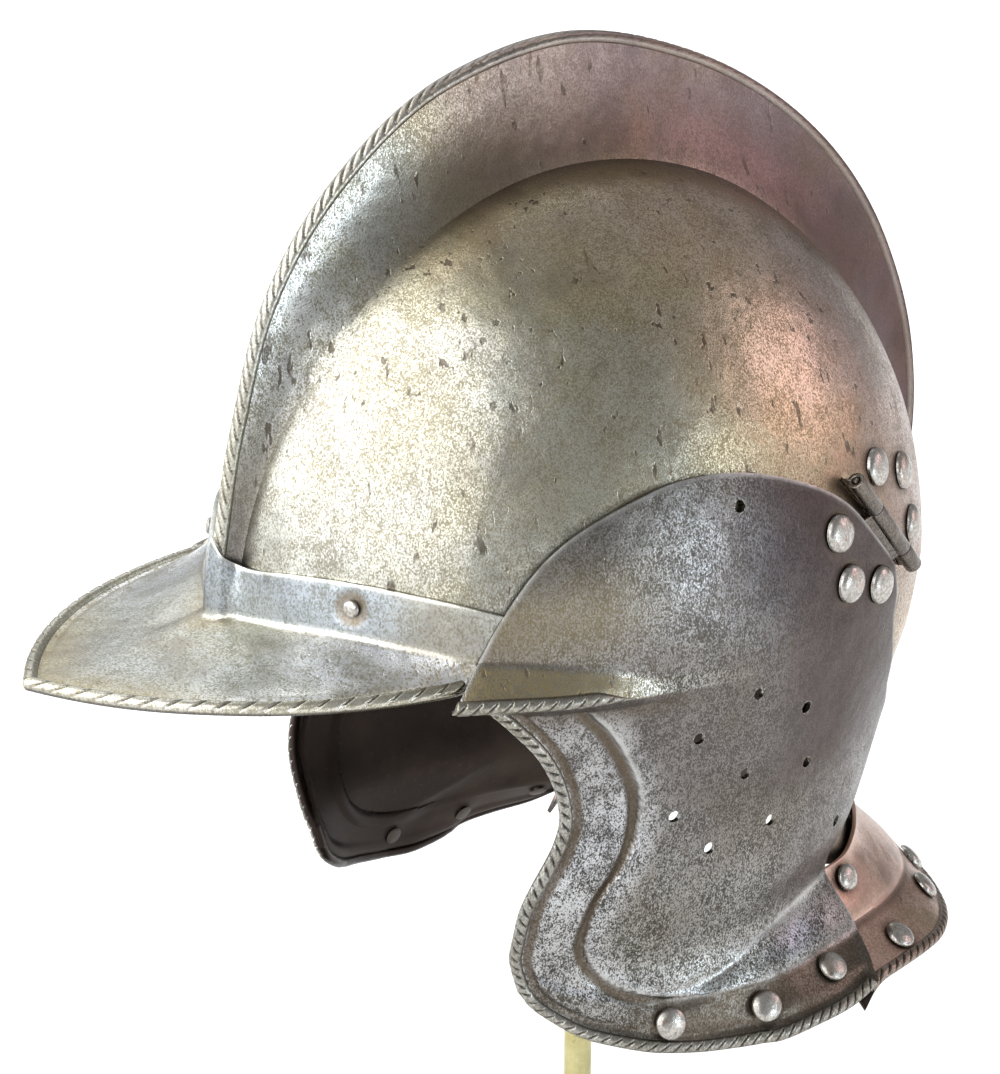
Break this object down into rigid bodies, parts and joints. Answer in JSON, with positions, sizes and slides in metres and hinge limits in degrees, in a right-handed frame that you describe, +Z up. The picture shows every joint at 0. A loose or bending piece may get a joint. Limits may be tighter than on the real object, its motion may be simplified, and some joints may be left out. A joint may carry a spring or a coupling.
{
  "type": "burgonet on stand",
  "caption": "Open steel helmet with a high roped comb, pointed peak, hinged cheek-pieces with roped edges and a flared neck guard, held on a brass post and round foot.",
  "frame": {"origin": "centre of the underside of the stand's round foot", "axes": "+Z up, the wearer's face toward -Y, the wearer's left toward +X"},
  "size_m": [0.2006, 0.339, 0.4315],
  "materials": {
    "steel": "speckled, faintly pitted, brown in the hollows",
    "peak_steel": "smooth, warm grey",
    "brown_steel": "smooth brown patina",
    "hinge_steel": "dark, filed",
    "rivet_steel": "bright domed heads",
    "brass": "satin"
  },
  "bodies": {
    "helmet": {"band_rivet_left": "rivet_steel", "band_rivet_right": "rivet_steel", "collar_rivet_left": "rivet_steel", "collar_rivet_right": "rivet_steel", "guard_rivet_left_1": "rivet_steel", "guard_rivet_left_2": "rivet_steel", "guard_rivet_left_3": "rivet_steel", "guard_rivet_right_1": "rivet_steel", "guard_rivet_right_2": "rivet_steel", "guard_rivet_right_3": "rivet_steel", "hinge_pin_left": "rivet_steel", "hinge_pin_right": "rivet_steel", "neck_guard": "brown_steel", "peak": "peak_steel", "skull": "steel", "skull_hinge_rivet_left_1": "rivet_steel", "skull_hinge_rivet_left_2": "rivet_steel", "skull_hinge_rivet_left_3": "rivet_steel", "skull_hinge_rivet_right_1": "rivet_steel", "skull_hinge_rivet_right_2": "rivet_steel", "skull_hinge_rivet_right_3": "rivet_steel", "skull_leaf_left": "hinge_steel", "skull_leaf_right": "hinge_steel", "stand_cap": "brass", "stand_foot": "brass", "stand_post": "brass"},
    "cheek_left": {"cheek_hinge_rivet_left_1": "rivet_steel", "cheek_hinge_rivet_left_2": "rivet_steel", "cheek_hinge_rivet_left_3": "rivet_steel", "cheek_leaf_left": "hinge_steel", "cheek_left": "steel", "flange_rivet_left_1": "rivet_steel", "flange_rivet_left_2": "rivet_steel", "flange_rivet_left_3": "rivet_steel"},
    "cheek_right": {"cheek_hinge_rivet_right_1": "rivet_steel", "cheek_hinge_rivet_right_2": "rivet_steel", "cheek_hinge_rivet_right_3": "rivet_steel", "cheek_leaf_right": "hinge_steel", "cheek_right": "steel", "flange_rivet_right_1": "rivet_steel", "flange_rivet_right_2": "rivet_steel", "flange_rivet_right_3": "rivet_steel"}
  },
  "joints": [
    {"name": "cheek_left_hinge", "type": "hinge", "parent": "helmet", "child": "cheek_left", "pos_m": [0.08298, 0.05906, 0.28202], "axis": [0.1641, -0.6411, 0.7497], "range_deg": [0, 75]},
    {"name": "cheek_right_hinge", "type": "hinge", "parent": "helmet", "child": "cheek_right", "pos_m": [-0.08298, 0.05906, 0.28202], "axis": [0.1641, 0.6411, -0.7497], "range_deg": [0, 75]}
  ]
}
